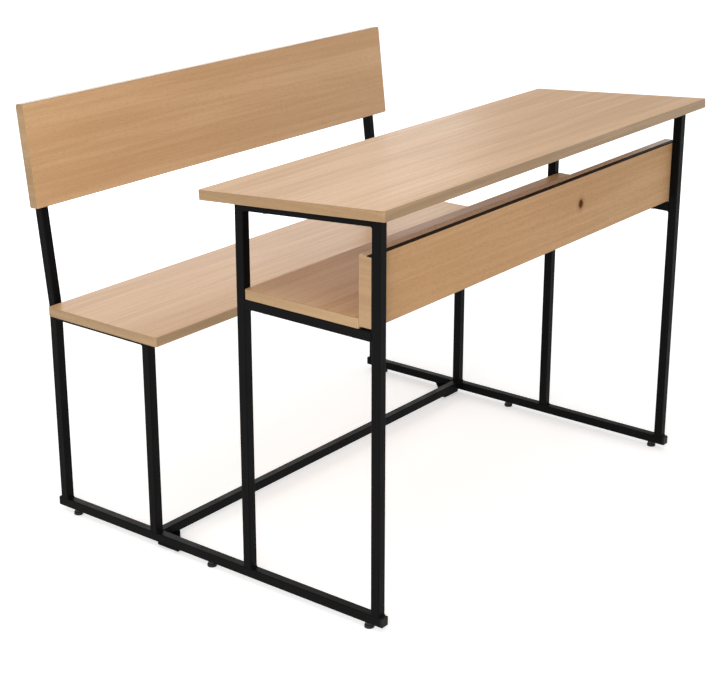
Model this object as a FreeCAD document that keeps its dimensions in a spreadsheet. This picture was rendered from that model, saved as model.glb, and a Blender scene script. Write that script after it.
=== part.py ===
import FreeCAD, Part
import math
import os

import Sketcher

# School bench desk for two or three: desk, book shelf, seat and backrest on two
# welded square-tube side frames that stand on six levelling feet.
# Millimetres, +Z up, +X along the boards, -Y the front panel, +Y the seat.
# Origin on the floor under the middle of the whole desk.

doc = FreeCAD.newDocument("school_bench_desk")
sheet = doc.addObject("Spreadsheet::Sheet", "Sizes")

SIZES = (
    ("tube_size", 18, "outside width of the square tube"),
    ("tube_wall", 1.2, "wall of the tube"),
    ("tube_inner_corner", 0.8, "inside corner radius of the tube"),
    ("frame_length", 1016, "outer face of the left frame to outer face of the right one"),
    ("front_leg_y", -403, "front face of the front legs"),
    ("desk_leg_pitch", 292, "front legs to rear desk legs"),
    ("seat_leg_pitch", 237, "rear desk legs to seat legs"),
    ("post_pitch", 245, "seat legs to back posts"),
    ("rail_overhang", 3, "base rail past the front leg and past the post"),
    ("board_thickness", 18, "desktop, seat, backrest and book shelf"),
    ("band_thickness", 1, "edge band glued round a board"),
    ("board_corner", 3, "corner radius of a board under its band"),
    ("desk_height", 762, "front top edge of the desktop"),
    ("desk_tilt", 4.3, "slope of the desktop towards the seat, degrees"),
    ("desk_end_overhang", 27, "desktop past the outer face of a side frame"),
    ("desk_front_overhang", 28, "desktop in front of the front legs"),
    ("desk_rear_overhang", 58, "desktop behind the rear desk legs"),
    ("shelf_drop", 198, "top of the book shelf below the front edge of the desktop"),
    ("shelf_gap", 0.5, "play between the shelf and the panel, and the rear legs"),
    ("panel_lift", 5, "panel above the shelf rails"),
    ("panel_height", 123, "front panel"),
    ("panel_thickness", 25, "front panel"),
    ("strip_thickness", 2, "dark strip let into the top edge of the panel"),
    ("strip_depth", 9, "dark strip from the panel's front face"),
    ("seat_height", 440, "top of the seat"),
    ("seat_end_overhang", 27, "seat past the outer face of a side frame"),
    ("seat_front_overhang", 47, "seat in front of the seat legs"),
    ("seat_post_gap", 10, "seat rear edge to the posts"),
    ("bend_drop", 10, "bend of a post below the top of the seat"),
    ("bend_radius", 80, "bend of a post, at its centre line"),
    ("back_rake", 6.6, "lean of the upper posts, degrees"),
    ("back_end_overhang", 25.5, "backrest past the outer face of a side frame"),
    ("back_height", 195, "backrest along the posts"),
    ("back_offset", 195, "bend to the lower edge of the backrest, along the post"),
    ("post_drop", 15, "post end below the top edge of the backrest"),
    ("rail_plug_head", 4, "head of a base rail's plug"),
    ("post_plug_head", 3, "head of a post's plug"),
    ("plug_depth", 12, "plug inside the tube"),
    ("plug_fit", 0.1, "plug to tube wall"),
    ("screw_radius", 2.25, "shank of a board screw"),
    ("screw_head_radius", 4.5, "head of a board screw"),
    ("screw_crown_radius", 3.15, "flat of a board screw's head"),
    ("screw_head_height", 2.6, "head of a board screw"),
    ("screw_bite", 12, "board screw in the board"),
    ("screw_fit", 0.1, "drilled hole round a shank"),
    ("hole_spare", 0.5, "drilled hole past the end of its shank"),
    ("screw_inset", 40, "board screw from the end of its rail"),
    ("panel_screw_inset", 30, "panel screw from the panel's edge"),
    ("panel_screw_reach", 8, "panel screw past the panel"),
    ("plate_leg", 72, "corner plate along the rail and along the stretcher"),
    ("plate_snip", 20, "snipped outer corner of a corner plate"),
    ("plate_tip", 9, "blunt tip of a corner plate"),
    ("plate_thickness", 4, "corner plate"),
    ("bolt_radius", 3, "corner plate bolt"),
    ("bolt_across", 10, "corner plate bolt head, across flats"),
    ("bolt_head", 4, "corner plate bolt head"),
    ("bolt_length", 14, "corner plate bolt under its head"),
    ("bolt_inset", 50, "corner plate bolt from the outer corner of the tubes"),
    ("foot_front_inset", 27, "front foot behind the front face of the front leg"),
    ("foot_rear_inset", 38, "rear foot in front of the rear face of the post"),
    ("pad_radius", 9, "foot pad on the floor"),
    ("pad_top_radius", 8, "top of a foot pad"),
    ("pad_rim", 3.4, "straight rim of a foot pad"),
    ("pad_height", 6, "foot pad"),
    ("socket_depth", 3, "socket of a foot pad"),
    ("socket_gap", 0.2, "spigot above the socket's floor"),
    ("spigot_radius", 5, "spigot of a foot screw in its pad"),
    ("turning_fit", 0.06, "radial play of a foot screw"),
    ("collar_across", 13, "hexagon of a foot screw, across flats"),
    ("collar_height", 3, "hexagon of a foot screw"),
    ("stem_radius", 4, "thread of a foot screw"),
    ("stem_tip_gap", 1.8, "foot screw under the rail's upper wall"),
    ("stop_gap", 0.4, "hexagon to insert with the foot screwed home"),
    ("insert_flange", 1.6, "flange of a threaded insert"),
    ("insert_flange_radius", 7, "flange of a threaded insert"),
    ("insert_radius", 5.5, "body of a threaded insert"),
    ("insert_length", 11, "threaded insert above the rail's underside"),
)
for row, (alias, value, note) in enumerate(SIZES, start=1):
    sheet.set(f"A{row}", note)
    sheet.set(f"B{row}", str(value))
    sheet.setAlias(f"B{row}", alias)
doc.recompute()

# Lengths that follow from the named sizes, written as expressions.
TUBE = "Sizes.tube_size"
HALF = "(Sizes.tube_size / 2)"
BORE = "(Sizes.tube_size - 2 * Sizes.tube_wall)"
TUBE_CORNER = "(Sizes.tube_inner_corner + Sizes.tube_wall)"
BOARD = "Sizes.board_thickness"
PANEL = "Sizes.panel_thickness"
BAND = "Sizes.band_thickness"
SIDE_X = "((Sizes.frame_length - Sizes.tube_size) / 2)"
FRONT_LEG = f"(Sizes.front_leg_y + {HALF})"
REAR_LEG = f"({FRONT_LEG} + Sizes.desk_leg_pitch)"
SEAT_LEG = f"({REAR_LEG} + Sizes.seat_leg_pitch)"
POST = f"({SEAT_LEG} + Sizes.post_pitch)"
RAIL_LOW = "(Sizes.pad_height + Sizes.collar_height + Sizes.stop_gap + Sizes.insert_flange)"
RAIL_MIDDLE = f"({RAIL_LOW} + {HALF})"
RAIL_TOP = f"({RAIL_LOW} + {TUBE})"
RAIL_FRONT = f"({FRONT_LEG} - {HALF} - Sizes.rail_overhang)"
RAIL_REAR = f"({POST} + {HALF} + Sizes.rail_overhang)"
DESK_EDGE_Y = "(Sizes.front_leg_y - Sizes.desk_front_overhang)"
DESK_LENGTH = "(Sizes.frame_length + 2 * Sizes.desk_end_overhang)"
DESK_LEVEL_DEPTH = (f"(Sizes.desk_front_overhang + Sizes.desk_leg_pitch + {TUBE}"
                    " + Sizes.desk_rear_overhang)")
DESK_DEPTH = f"({DESK_LEVEL_DEPTH} / cos(Sizes.desk_tilt))"
SEAT_LENGTH = "(Sizes.frame_length + 2 * Sizes.seat_end_overhang)"
SEAT_DEPTH = "(Sizes.seat_front_overhang + Sizes.post_pitch - Sizes.seat_post_gap)"
BACK_LENGTH = "(Sizes.frame_length + 2 * Sizes.back_end_overhang)"
BEND_HEIGHT = "(Sizes.seat_height - Sizes.bend_drop)"
SEAT_UNDER = f"(Sizes.seat_height - {BOARD})"
SHELF_UNDER = f"(Sizes.desk_height - Sizes.shelf_drop - {BOARD})"
PANEL_FRONT = f"({FRONT_LEG} + {HALF})"
PANEL_LOW = f"({SHELF_UNDER} + Sizes.panel_lift)"
SHELF_FRONT = f"({PANEL_FRONT} + {PANEL} + Sizes.shelf_gap)"
SHELF_REAR = f"({REAR_LEG} - {HALF} - Sizes.shelf_gap)"
SHELF_DEPTH = f"({SHELF_REAR} - {SHELF_FRONT})"
POST_RISE = "(Sizes.back_offset + Sizes.back_height - Sizes.post_drop)"

ALONG_X = FreeCAD.Vector(1, 0, 0)
AGAINST_X = FreeCAD.Vector(-1, 0, 0)
ALONG_Y = FreeCAD.Vector(0, 1, 0)
ALONG_Z = FreeCAD.Vector(0, 0, 1)
SIDES = (("left", f"(-{SIDE_X})"), ("right", SIDE_X))

nodes = []


def keep(obj, label):
    """Name a finished sub-part and list it for writing."""
    obj.Label = label
    nodes.append(obj)
    return obj


def place(obj, x="0", y="0", z="0", axis=None, turn=None):
    """Bind an object's position, and its turn about one axis, to expressions."""
    if axis is not None:
        start_turn = 30
        obj.Placement = FreeCAD.Placement(FreeCAD.Vector(), FreeCAD.Rotation(axis, start_turn))
        obj.setExpression("Placement.Rotation.Angle", turn)
    obj.setExpression("Placement.Base.x", x)
    obj.setExpression("Placement.Base.y", y)
    obj.setExpression("Placement.Base.z", z)
    return obj


def leaning(origin_y, origin_z, angle, along, out):
    """Return the Y and Z of a point given in a frame that leans back about X."""
    point_y = f"({origin_y} + ({along}) * cos({angle}) + ({out}) * sin({angle}))"
    point_z = f"({origin_z} - ({along}) * sin({angle}) + ({out}) * cos({angle}))"
    return point_y, point_z


def on_desk(along, out):
    """Return the Y and Z of a point measured from the desktop's front top edge."""
    return leaning(DESK_EDGE_Y, "Sizes.desk_height", "Sizes.desk_tilt", along, out)


def on_post(along, out):
    """Return the Y and Z of a point measured from the bend of a post."""
    return leaning(POST, BEND_HEIGHT, "Sizes.back_rake", along, out)


def block(name, length, width, height):
    """Make a box with its three sizes bound."""
    obj = doc.addObject("Part::Box", name)
    obj.setExpression("Length", length)
    obj.setExpression("Width", width)
    obj.setExpression("Height", height)
    return obj


def rod(name, radius, height):
    """Make a cylinder with its radius and height bound."""
    obj = doc.addObject("Part::Cylinder", name)
    obj.setExpression("Radius", radius)
    obj.setExpression("Height", height)
    return obj


def hexagon(name, across, height):
    """Make a six-sided prism from its size across flats."""
    obj = doc.addObject("Part::Prism", name)
    obj.Polygon = 6
    obj.setExpression("Circumradius", f"{across} / (2 * cos(30))")
    obj.setExpression("Height", height)
    return obj


def gather(name, members):
    """Hold several separate solids in one object."""
    obj = doc.addObject("Part::Compound", name)
    obj.Links = members
    return obj


def joined(name, members):
    """Make one solid of several that touch."""
    obj = doc.addObject("Part::MultiFuse", name)
    obj.Shapes = members
    return obj


def cut(name, base, tools):
    """Take one or more tools away from a base."""
    obj = doc.addObject("Part::Cut", name)
    obj.Base = base
    obj.Tool = tools[0] if len(tools) == 1 else gather(name + "_tools", tools)
    return obj


def sketch_on(body, name, role="XY_Plane"):
    """Start a sketch on one of the body's own origin planes."""
    sketch = body.newObject("Sketcher::SketchObject", name)
    for feature in body.Origin.OriginFeatures:
        if feature.Role == role:
            sketch.AttachmentSupport = [(feature, "")]
    sketch.MapMode = "FlatFace"
    return sketch


def bind(sketch, constraint, name, expression):
    """Add a named constraint and bind it."""
    index = sketch.addConstraint(constraint)
    sketch.renameConstraint(index, name)
    sketch.setExpression(f"Constraints.{name}", expression)


def draw_rounded(sketch, tag, width, depth, corner):
    """Draw a rectangle with round corners, centred on the sketch's origin."""
    half_width, half_depth, radius = 60.0, 40.0, 4.0
    flat_x = half_width - radius
    flat_y = half_depth - radius
    ends = (
        ((-flat_x, -half_depth), (flat_x, -half_depth)),
        ((half_width, -flat_y), (half_width, flat_y)),
        ((flat_x, half_depth), (-flat_x, half_depth)),
        ((-half_width, flat_y), (-half_width, -flat_y)),
    )
    centres = ((flat_x, -flat_y), (flat_x, flat_y), (-flat_x, flat_y), (-flat_x, -flat_y))
    quarter = math.pi / 2
    sides, arcs = [], []
    for number in range(4):
        start, finish = ends[number]
        line = Part.LineSegment(FreeCAD.Vector(*start, 0), FreeCAD.Vector(*finish, 0))
        sides.append(sketch.addGeometry(line, False))
        circle = Part.Circle(FreeCAD.Vector(*centres[number], 0), ALONG_Z, radius)
        arc = Part.ArcOfCircle(circle, (number - 1) * quarter, number * quarter)
        arcs.append(sketch.addGeometry(arc, False))
    for number in range(4):
        following = sides[(number + 1) % 4]
        sketch.addConstraint(Sketcher.Constraint("Tangent", sides[number], 2, arcs[number], 1))
        sketch.addConstraint(Sketcher.Constraint("Tangent", arcs[number], 2, following, 1))
        direction = "Vertical" if number % 2 else "Horizontal"
        sketch.addConstraint(Sketcher.Constraint(direction, sides[number]))
    for arc in arcs[1:]:
        sketch.addConstraint(Sketcher.Constraint("Equal", arcs[0], arc))
    sketch.addConstraint(Sketcher.Constraint("Symmetric", sides[1], 1, sides[3], 1, -1, 1))
    across = Sketcher.Constraint("DistanceX", sides[3], 1, sides[1], 1, 2 * half_width)
    upright = Sketcher.Constraint("DistanceY", sides[0], 1, sides[2], 1, 2 * half_depth)
    bind(sketch, across, tag + "_width", width)
    bind(sketch, upright, tag + "_depth", depth)
    bind(sketch, Sketcher.Constraint("Radius", arcs[0], radius), tag + "_corner", corner)


def draw_tube(body, name):
    """Draw the tube's section on the body's XY plane."""
    section = sketch_on(body, name + "_section")
    draw_rounded(section, "outer", TUBE, TUBE, TUBE_CORNER)
    draw_rounded(section, "inner", BORE, BORE, "Sizes.tube_inner_corner")
    return section


def straight_tube(name, length):
    """Make a length of square tube along its own Z."""
    body = doc.addObject("PartDesign::Body", name)
    pad = body.newObject("PartDesign::Pad", name + "_run")
    pad.Profile = draw_tube(body, name)
    pad.setExpression("Length", length)
    body.Tip = pad
    return body


def bent_tube(name, low, high, radius, angle):
    """Make a tube that runs up its own Z, then leans towards its own +Y."""
    body = doc.addObject("PartDesign::Body", name)
    section = draw_tube(body, name)
    spine = sketch_on(body, name + "_spine", "YZ_Plane")
    start_low = 300.0
    start_high = 370.0
    start_radius = 80.0
    start_lean = 0.115
    low_end = FreeCAD.Vector(0, start_low, 0)
    circle = Part.Circle(FreeCAD.Vector(start_radius, start_low, 0), ALONG_Z, start_radius)
    arc = Part.ArcOfCircle(circle, math.pi - start_lean, math.pi)
    high_start = arc.StartPoint
    upward = FreeCAD.Vector(math.sin(start_lean), math.cos(start_lean), 0)
    high_end = high_start + upward * start_high
    lower = spine.addGeometry(Part.LineSegment(FreeCAD.Vector(), low_end), False)
    bend = spine.addGeometry(arc, False)
    upper = spine.addGeometry(Part.LineSegment(high_start, high_end), False)
    spine.addConstraint(Sketcher.Constraint("Coincident", lower, 1, -1, 1))
    spine.addConstraint(Sketcher.Constraint("Vertical", lower))
    spine.addConstraint(Sketcher.Constraint("Tangent", lower, 2, bend, 2))
    spine.addConstraint(Sketcher.Constraint("Tangent", bend, 1, upper, 1))
    setback = f"{radius} * tan({angle} / 2)"
    low_run = Sketcher.Constraint("Distance", lower, start_low)
    bind(spine, low_run, "low_run", f"{low} - {setback}")
    high_run = Sketcher.Constraint("Distance", upper, start_high)
    bind(spine, high_run, "high_run", f"{high} - {setback}")
    bind(spine, Sketcher.Constraint("Radius", bend, start_radius), "bend_radius", radius)
    lean = Sketcher.Constraint("Angle", upper, math.pi / 2 - start_lean)
    bind(spine, lean, "lean", f"90 - {angle}")
    pipe = body.newObject("PartDesign::AdditivePipe", name + "_run")
    pipe.Profile = section
    pipe.Spine = (spine, ["Edge1", "Edge2", "Edge3"])
    body.Tip = pipe
    return body


def slab(name, length, depth, corner):
    """Make a board, flat on its own XY plane and centred there."""
    body = doc.addObject("PartDesign::Body", name)
    outline = sketch_on(body, name + "_outline")
    draw_rounded(outline, "edge", length, depth, corner)
    pad = body.newObject("PartDesign::Pad", name + "_thickness")
    pad.Profile = outline
    pad.setExpression("Length", BOARD)
    body.Tip = pad
    return body


def edge_band(name, length, depth):
    """Make the band that runs all round a board."""
    body = doc.addObject("PartDesign::Body", name)
    outline = sketch_on(body, name + "_outline")
    draw_rounded(outline, "outer", length, depth, f"(Sizes.board_corner + {BAND})")
    draw_rounded(outline, "inner", f"{length} - 2 * {BAND}", f"{depth} - 2 * {BAND}",
                 "Sizes.board_corner")
    pad = body.newObject("PartDesign::Pad", name + "_thickness")
    pad.Profile = outline
    pad.setExpression("Length", BOARD)
    body.Tip = pad
    return body


def plug(name, head):
    """Make a tube plug: its head on +Z, its spigot down the tube."""
    body = doc.addObject("PartDesign::Body", name)
    outline = sketch_on(body, name + "_head_outline")
    draw_rounded(outline, "head", TUBE, TUBE, TUBE_CORNER)
    cap = body.newObject("PartDesign::Pad", name + "_head")
    cap.Profile = outline
    cap.setExpression("Length", head)
    inside = sketch_on(body, name + "_spigot_outline")
    spigot = f"{BORE} - 2 * Sizes.plug_fit"
    draw_rounded(inside, "spigot", spigot, spigot, "Sizes.tube_inner_corner")
    stub = body.newObject("PartDesign::Pad", name + "_spigot")
    stub.Profile = inside
    stub.Reversed = True
    stub.setExpression("Length", "Sizes.plug_depth")
    body.Tip = stub
    return body


def plate_blank(name):
    """Make a corner plate: two legs with blunt tips, its outer corner snipped off.

    Its origin lies where the centre lines of rail and stretcher cross.
    """
    body = doc.addObject("PartDesign::Body", name + "_blank")
    outline = sketch_on(body, name + "_outline")
    edge = sheet.get("tube_size") / 2
    leg = sheet.get("plate_leg")
    snip = sheet.get("plate_snip")
    tip = sheet.get("plate_tip")
    far = leg - edge
    corners = (
        (-edge, edge - snip), (-edge, -far), (tip - edge, -far),
        (far, edge - tip), (far, edge), (snip - edge, edge),
    )
    count = len(corners)
    lines = []
    for number in range(count):
        start = FreeCAD.Vector(*corners[number], 0)
        finish = FreeCAD.Vector(*corners[(number + 1) % count], 0)
        lines.append(outline.addGeometry(Part.LineSegment(start, finish), False))
    for number in range(count):
        following = lines[(number + 1) % count]
        outline.addConstraint(Sketcher.Constraint("Coincident", lines[number], 2, following, 1))
    rail_side, rail_tip, _, stretcher_tip, stretcher_side, snipped = lines
    for line, direction in ((rail_side, "Vertical"), (rail_tip, "Horizontal"),
                            (stretcher_tip, "Vertical"), (stretcher_side, "Horizontal")):
        outline.addConstraint(Sketcher.Constraint(direction, line))
    rules = (
        ("rail_edge", ("DistanceX", rail_side, 1, -1, 1, edge), HALF),
        ("stretcher_edge", ("DistanceY", -1, 1, stretcher_side, 1, edge), HALF),
        ("rail_leg", ("DistanceY", rail_side, 2, stretcher_side, 1, leg), "Sizes.plate_leg"),
        ("stretcher_leg", ("DistanceX", rail_side, 1, stretcher_side, 1, leg), "Sizes.plate_leg"),
        ("rail_snip", ("DistanceY", rail_side, 1, snipped, 1, snip), "Sizes.plate_snip"),
        ("stretcher_snip", ("DistanceX", rail_side, 1, snipped, 1, snip), "Sizes.plate_snip"),
        ("rail_blunt", ("Distance", rail_tip, tip), "Sizes.plate_tip"),
        ("stretcher_blunt", ("Distance", stretcher_tip, tip), "Sizes.plate_tip"),
    )
    for rule, terms, expression in rules:
        bind(outline, Sketcher.Constraint(*terms), rule, expression)
    pad = body.newObject("PartDesign::Pad", name + "_thickness")
    pad.Profile = outline
    pad.setExpression("Length", "Sizes.plate_thickness")
    body.Tip = pad
    return body


def screws(label, spots, reach, axis=None, turn=None):
    """Make a group of board screws and the drills for their holes.

    Each spot is the point under a screw's head; the shank runs from there
    along the turned Z axis.
    """
    made, drills = [], []
    for number, (x, y, z) in enumerate(spots, start=1):
        name = f"{label}_{number}"
        shank = rod(name + "_shank", "Sizes.screw_radius", reach)
        head = doc.addObject("Part::Cone", name + "_head")
        head.setExpression("Radius1", "Sizes.screw_crown_radius")
        head.setExpression("Radius2", "Sizes.screw_head_radius")
        head.setExpression("Height", "Sizes.screw_head_height")
        place(head, z="-Sizes.screw_head_height")
        screw = joined(name + "_screw", [shank, head])
        made.append(place(screw, x, y, z, axis, turn))
        drill = rod(name + "_drill", "Sizes.screw_radius + Sizes.screw_fit",
                    f"{reach} + Sizes.hole_spare")
        drills.append(place(drill, x, y, z, axis, turn))
    keep(gather(label + "_group", made), label)
    return drills


# Screw spots and drills come first: the tubes and boards are drilled with them.
desk_under = f"-({BOARD} + {TUBE})"
desk_first = f"Sizes.desk_front_overhang + {TUBE} + Sizes.screw_inset"
desk_second = "Sizes.desk_front_overhang + Sizes.desk_leg_pitch - Sizes.screw_inset"
tube_reach = f"({TUBE} + Sizes.screw_bite)"
seat_first = f"{SEAT_LEG} + {HALF} + Sizes.screw_inset"
seat_second = f"{POST} - {HALF} - Sizes.screw_inset"
shelf_first = f"{FRONT_LEG} + {HALF} + Sizes.screw_inset"
shelf_second = f"{REAR_LEG} - {HALF} - Sizes.screw_inset"
back_first = "Sizes.back_offset + Sizes.screw_inset"
back_second = f"{POST_RISE} - Sizes.screw_inset"
panel_first = f"{PANEL_LOW} + Sizes.panel_screw_inset"
panel_second = f"{PANEL_LOW} + Sizes.panel_height - Sizes.panel_screw_inset"
panel_back = f"{PANEL_FRONT} + {PANEL}"

desk_spots = [(x, *on_desk(y, desk_under)) for _, x in SIDES for y in (desk_first, desk_second)]
seat_spots = [(x, y, f"{SEAT_UNDER} - {TUBE}") for _, x in SIDES for y in (seat_first, seat_second)]
shelf_spots = [(x, y, f"{SHELF_UNDER} - {TUBE}") for _, x in SIDES for y in (shelf_first, shelf_second)]
back_spots = [(x, *on_post(HALF, z)) for _, x in SIDES for z in (back_first, back_second)]
panel_spots = [(x, panel_back, z) for _, x in SIDES for z in (panel_first, panel_second)]

desk_drills = screws("desktop_screws", desk_spots, tube_reach, AGAINST_X, "Sizes.desk_tilt")
seat_drills = screws("seat_screws", seat_spots, tube_reach)
shelf_drills = screws("shelf_screws", shelf_spots, tube_reach)
back_drills = screws("backrest_screws", back_spots, tube_reach, ALONG_X, "90 - Sizes.back_rake")
panel_drills = screws("panel_screws", panel_spots, f"({PANEL} + Sizes.panel_screw_reach)",
                      ALONG_X, "90")

# Feet: threaded insert in the rail, screw with a hexagon, pad that stays flat on the floor.
foot_rows = (
    ("front", "(Sizes.front_leg_y + Sizes.foot_front_inset)"),
    ("middle", f"(({RAIL_FRONT} + {RAIL_REAR}) / 2)"),
    ("rear", f"({POST} + {HALF} - Sizes.foot_rear_inset)"),
)
inserts = []
foot_drills = {"left": [], "right": []}
for side, x in SIDES:
    for row, y in foot_rows:
        name = f"{side}_{row}_foot"

        rim = rod(name + "_rim", "Sizes.pad_radius", "Sizes.pad_rim")
        crown = doc.addObject("Part::Cone", name + "_crown")
        crown.setExpression("Radius1", "Sizes.pad_radius")
        crown.setExpression("Radius2", "Sizes.pad_top_radius")
        crown.setExpression("Height", "Sizes.pad_height - Sizes.pad_rim")
        place(crown, z="Sizes.pad_rim")
        socket = rod(name + "_socket", "Sizes.spigot_radius + Sizes.turning_fit",
                     "2 * Sizes.socket_depth")
        place(socket, z="Sizes.pad_height - Sizes.socket_depth")
        pad = cut(name + "_pad_solid", joined(name + "_pad_blank", [rim, crown]), [socket])
        keep(place(pad, x, y), name + "_pad")

        spigot_height = "(Sizes.socket_depth - Sizes.socket_gap)"
        collar_top = "(Sizes.pad_height + Sizes.collar_height)"
        stem_height = (f"({RAIL_TOP} - Sizes.tube_wall - Sizes.stem_tip_gap - {collar_top})")
        spigot = rod(name + "_spigot", "Sizes.spigot_radius", spigot_height)
        place(spigot, z=f"Sizes.pad_height - {spigot_height}")
        collar = hexagon(name + "_collar", "Sizes.collar_across", "Sizes.collar_height")
        place(collar, z="Sizes.pad_height")
        stem = rod(name + "_stem", "Sizes.stem_radius", stem_height)
        place(stem, z=collar_top)
        screw = joined(name + "_screw_solid", [spigot, collar, stem])
        keep(place(screw, x, y), name + "_screw")

        flange = rod(name + "_flange", "Sizes.insert_flange_radius", "Sizes.insert_flange")
        barrel = rod(name + "_barrel", "Sizes.insert_radius",
                     "Sizes.insert_flange + Sizes.insert_length")
        thread = rod(name + "_thread", "Sizes.stem_radius + Sizes.turning_fit",
                     "3 * Sizes.insert_flange + Sizes.insert_length")
        place(thread, z="-Sizes.insert_flange")
        insert = cut(name + "_insert", joined(name + "_insert_blank", [flange, barrel]), [thread])
        inserts.append(place(insert, x, y, f"{RAIL_LOW} - Sizes.insert_flange"))

        drill = rod(name + "_drill", "Sizes.insert_radius + Sizes.screw_fit",
                    "2 * Sizes.tube_wall")
        foot_drills[side].append(place(drill, x, y, f"{RAIL_LOW} - Sizes.tube_wall / 2"))
keep(gather("foot_inserts_group", inserts), "foot_inserts")

# Corner plates under the rail and the stretcher, each with two bolts from below.
# The left one lies in front of the stretcher, the right one behind it.
plate_under = f"({RAIL_LOW} - Sizes.plate_thickness)"
bolts = []
rail_bolt_drills = {}
stretcher_drills = []
for side, x, turn in (("left", f"(-{SIDE_X})", "0"), ("right", SIDE_X, "180")):
    sign = "-" if side == "left" else ""
    inward = "" if side == "left" else "-"
    rail_bolt_y = f"({SEAT_LEG} + {sign}(Sizes.bolt_inset - {HALF}))"
    stretcher_bolt_x = f"({x} + {inward}(Sizes.bolt_inset - {HALF}))"

    blank = plate_blank(side + "_plate")
    place(blank, x, SEAT_LEG, plate_under, ALONG_Z, turn)

    drills = []
    for place_name, spot_x, spot_y in (("rail", x, rail_bolt_y), ("stretcher", stretcher_bolt_x, SEAT_LEG)):
        name = f"{side}_{place_name}_bolt"
        head = hexagon(name + "_head", "Sizes.bolt_across", "Sizes.bolt_head")
        place(head, z="-Sizes.bolt_head")
        shank = rod(name + "_shank", "Sizes.bolt_radius", "Sizes.bolt_length")
        bolt = joined(name + "_solid", [head, shank])
        bolts.append(place(bolt, spot_x, spot_y, plate_under))
        drill = rod(name + "_drill", "Sizes.bolt_radius + Sizes.screw_fit",
                    "Sizes.bolt_length + Sizes.hole_spare")
        drills.append(place(drill, spot_x, spot_y, plate_under))
    keep(cut(side + "_plate_solid", blank, drills), side + "_corner_plate")
    rail_bolt_drills[side] = drills[0]
    stretcher_drills.append(drills[1])
keep(gather("corner_plate_bolts_group", bolts), "corner_plate_bolts")

# The space the desktop takes, and the space between the desk legs, trim the tubes there.
above_desk = block("above_desk", "Sizes.frame_length", f"2 * {DESK_DEPTH}", DESK_DEPTH)
above_y, above_z = on_desk(f"-{DESK_DEPTH} / 2", f"-{BOARD}")
place(above_desk, "-Sizes.frame_length / 2", above_y, above_z, AGAINST_X, "Sizes.desk_tilt")
between_legs = block("between_legs", "Sizes.frame_length", f"Sizes.desk_leg_pitch - {TUBE}",
                     "Sizes.desk_height")
place(between_legs, "-Sizes.frame_length / 2", f"{FRONT_LEG} + {HALF}")

# Side frames, all of one square tube.
for number, (side, x) in enumerate(SIDES):
    own = slice(2 * number, 2 * number + 2)

    rail = straight_tube(side + "_base_rail_tube", f"{RAIL_REAR} - {RAIL_FRONT}")
    place(rail, x, RAIL_FRONT, RAIL_MIDDLE, AGAINST_X, "90")
    rail_holes = foot_drills[side] + [rail_bolt_drills[side]]
    keep(cut(side + "_base_rail_solid", rail, rail_holes), side + "_base_rail")

    leg = straight_tube(side + "_front_leg_tube", f"Sizes.desk_height - {RAIL_TOP}")
    place(leg, x, FRONT_LEG, RAIL_TOP)
    leg_holes = [above_desk] + panel_drills[own]
    keep(cut(side + "_front_leg_solid", leg, leg_holes), side + "_front_leg")

    leg = straight_tube(side + "_rear_leg_tube", f"Sizes.desk_height - {RAIL_TOP}")
    place(leg, x, REAR_LEG, RAIL_TOP)
    keep(cut(side + "_rear_leg_solid", leg, [above_desk]), side + "_rear_leg")

    rail = straight_tube(side + "_top_rail_tube", DESK_DEPTH)
    rail_y, rail_z = on_desk("0", f"-({BOARD} + {HALF})")
    place(rail, x, rail_y, rail_z, AGAINST_X, "90 + Sizes.desk_tilt")
    fitted = doc.addObject("Part::Common", side + "_top_rail_fitted")
    fitted.Base = rail
    fitted.Tool = between_legs
    keep(cut(side + "_top_rail_solid", fitted, desk_drills[own]), side + "_top_rail")

    rail = straight_tube(side + "_shelf_rail_tube", f"Sizes.desk_leg_pitch - {TUBE}")
    place(rail, x, f"{FRONT_LEG} + {HALF}", f"{SHELF_UNDER} - {HALF}", AGAINST_X, "90")
    keep(cut(side + "_shelf_rail_solid", rail, shelf_drills[own]), side + "_shelf_rail")

    leg = straight_tube(side + "_seat_leg_tube", f"{SEAT_UNDER} - {RAIL_TOP}")
    keep(place(leg, x, SEAT_LEG, RAIL_TOP), side + "_seat_leg")

    rail = straight_tube(side + "_seat_rail_tube", f"Sizes.post_pitch - {TUBE}")
    place(rail, x, f"{SEAT_LEG} + {HALF}", f"{SEAT_UNDER} - {HALF}", AGAINST_X, "90")
    keep(cut(side + "_seat_rail_solid", rail, seat_drills[own]), side + "_seat_rail")

    post = bent_tube(side + "_back_post_tube", f"({BEND_HEIGHT} - {RAIL_TOP})", POST_RISE,
                     "Sizes.bend_radius", "Sizes.back_rake")
    place(post, x, POST, RAIL_TOP)
    keep(cut(side + "_back_post_solid", post, back_drills[own]), side + "_back_post")

stretcher = straight_tube("cross_stretcher_tube", f"Sizes.frame_length - 2 * {TUBE}")
place(stretcher, f"{TUBE} - Sizes.frame_length / 2", SEAT_LEG, RAIL_MIDDLE, ALONG_Y, "90")
keep(cut("cross_stretcher_solid", stretcher, stretcher_drills), "cross_stretcher")

# Plugs in the open tube ends.
rail_plugs = []
post_plugs = []
for side, x in SIDES:
    front = plug(side + "_front_plug", "Sizes.rail_plug_head")
    rail_plugs.append(place(front, x, RAIL_FRONT, RAIL_MIDDLE, ALONG_X, "90"))
    rear = plug(side + "_rear_plug", "Sizes.rail_plug_head")
    rail_plugs.append(place(rear, x, RAIL_REAR, RAIL_MIDDLE, AGAINST_X, "90"))
    top = plug(side + "_post_plug", "Sizes.post_plug_head")
    top_y, top_z = on_post("0", POST_RISE)
    post_plugs.append(place(top, x, top_y, top_z, AGAINST_X, "Sizes.back_rake"))
keep(gather("rail_end_plugs_group", rail_plugs), "rail_end_plugs")
keep(gather("post_top_plugs_group", post_plugs), "post_top_plugs")

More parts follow.
